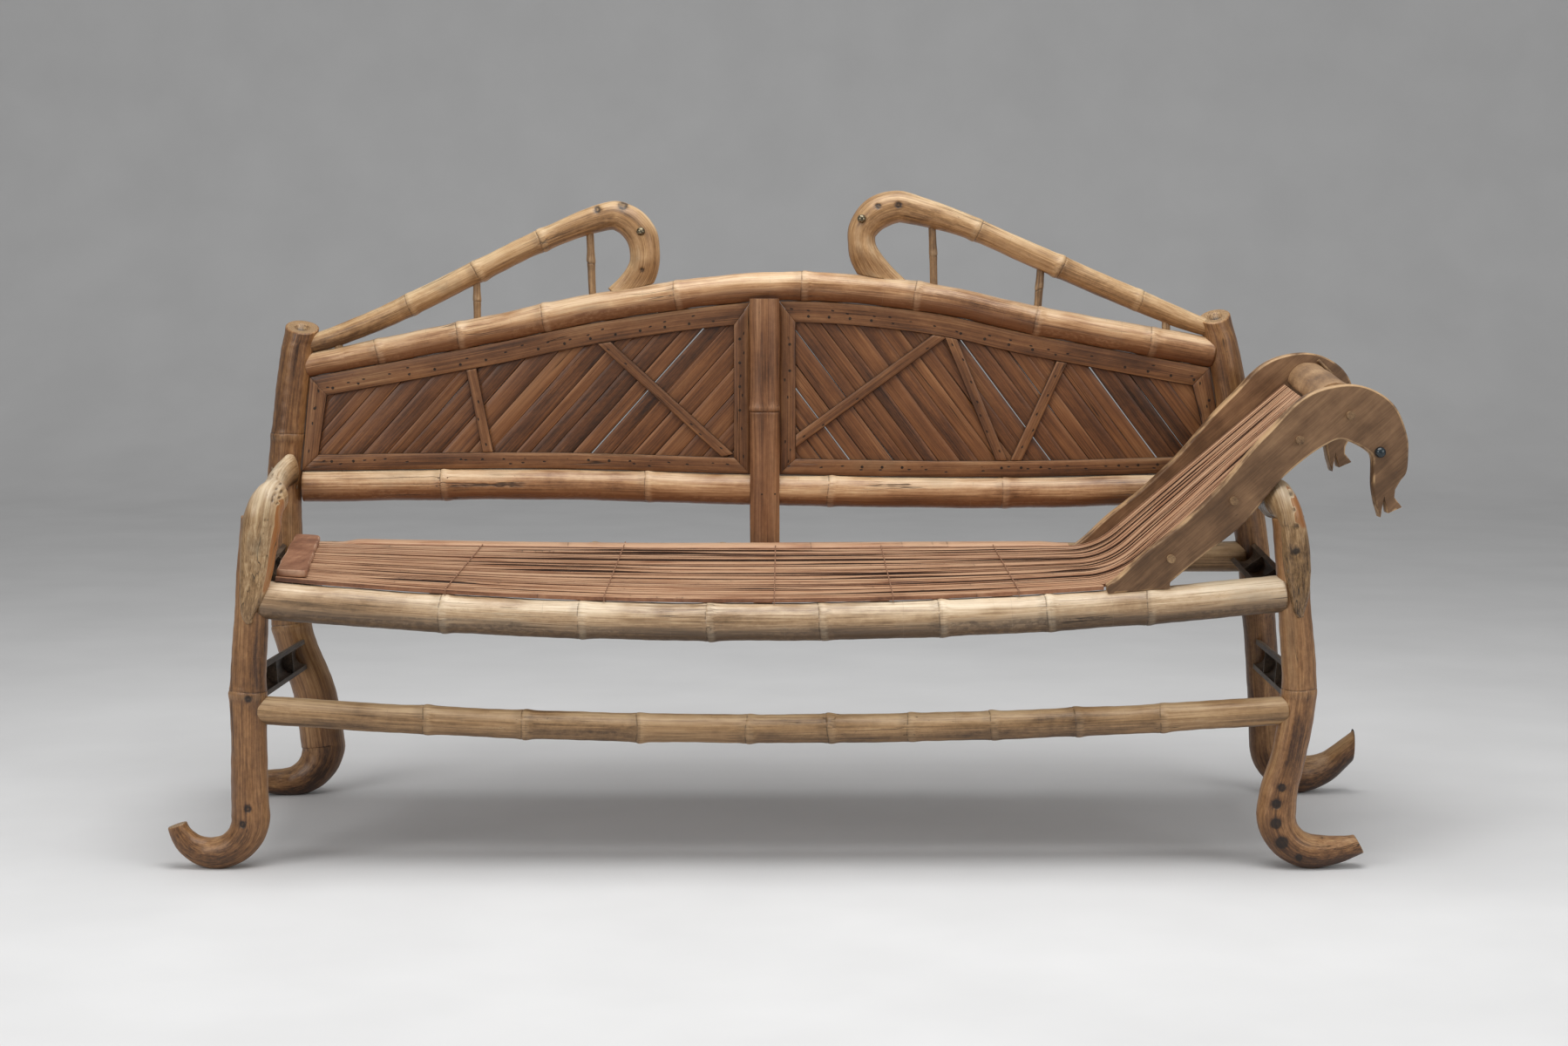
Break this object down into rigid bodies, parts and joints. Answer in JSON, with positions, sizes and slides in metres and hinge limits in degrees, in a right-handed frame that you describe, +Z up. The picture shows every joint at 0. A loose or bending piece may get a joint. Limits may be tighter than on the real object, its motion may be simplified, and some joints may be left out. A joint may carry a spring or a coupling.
{
  "type": "bamboo sofa bed",
  "caption": "Bamboo daybed sofa with hooked culm feet, arched slatted back, swan neck crests, a split bamboo mat and a raised headrest between carved boards.",
  "frame": {"origin": "bottom centre of the bounding box, on the floor", "axes": "+X along the seat towards the headrest, -Y towards the front, +Z up"},
  "size_m": [2.0054, 0.6749, 1.0714],
  "materials": {
    "tan_culm": "aged bamboo skin, satin, darker at the node rings",
    "brown_culm": "orange brown bamboo skin, satin",
    "straw_culm": "worn pale bamboo skin, satin",
    "dark_split_culm": "split bamboo with a dark weathered inside",
    "bamboo_strip": "flat split bamboo, pale and satin",
    "slat": "dark red brown split bamboo",
    "mat": "flattened split bamboo, pinkish tan",
    "cord": "thin plant fibre cord",
    "board": "grey brown hardwood board, worn pale along its edges",
    "peg": "end grain of bamboo pegs",
    "nail": "old dull nails",
    "brass_trim": "dull brass",
    "glass_bead": "dark glass bead"
  },
  "bodies": {
    "root": {"front_left_leg": "tan_culm", "front_right_leg": "tan_culm", "rear_left_post": "brown_culm", "rear_right_post": "brown_culm", "front_seat_rail": "straw_culm", "rear_seat_rail": "tan_culm", "left_side_rail": "dark_split_culm", "right_side_rail": "dark_split_culm", "front_stretcher": "tan_culm", "left_side_stretcher": "dark_split_culm", "right_side_stretcher": "dark_split_culm", "left_arm": "straw_culm", "right_arm": "straw_culm", "seat_bearers": "tan_culm", "seat_mat": "mat", "mat_ties": "cord", "seat_end_board": "board", "back_top_rail": "tan_culm", "back_lower_rail": "tan_culm", "centre_stile": "straw_culm", "left_crest": "brown_culm", "right_crest": "brown_culm", "left_crest_spindles": "straw_culm", "right_crest_spindles": "straw_culm", "left_panel_top_strip": "bamboo_strip", "left_panel_bottom_strip": "bamboo_strip", "left_panel_outer_stile": "bamboo_strip", "left_panel_inner_stile": "bamboo_strip", "left_panel_slats": "slat", "left_long_brace": "bamboo_strip", "left_short_brace": "bamboo_strip", "right_panel_top_strip": "bamboo_strip", "right_panel_bottom_strip": "bamboo_strip", "right_panel_outer_stile": "bamboo_strip", "right_panel_inner_stile": "bamboo_strip", "right_panel_slats": "slat", "right_long_brace": "bamboo_strip", "right_middle_brace": "bamboo_strip", "right_short_brace": "bamboo_strip", "panel_nails": "nail", "panel_pins": "brass_trim", "headrest_front_board": "board", "headrest_rear_board": "board", "headrest_rungs": "tan_culm", "headrest_crown": "brown_culm", "crown_wedge": "straw_culm", "frame_pegs": "peg", "stile_nails": "nail", "crest_eye_studs": "brass_trim", "headrest_eye_beads": "glass_bead"}
  },
  "joints": []
}
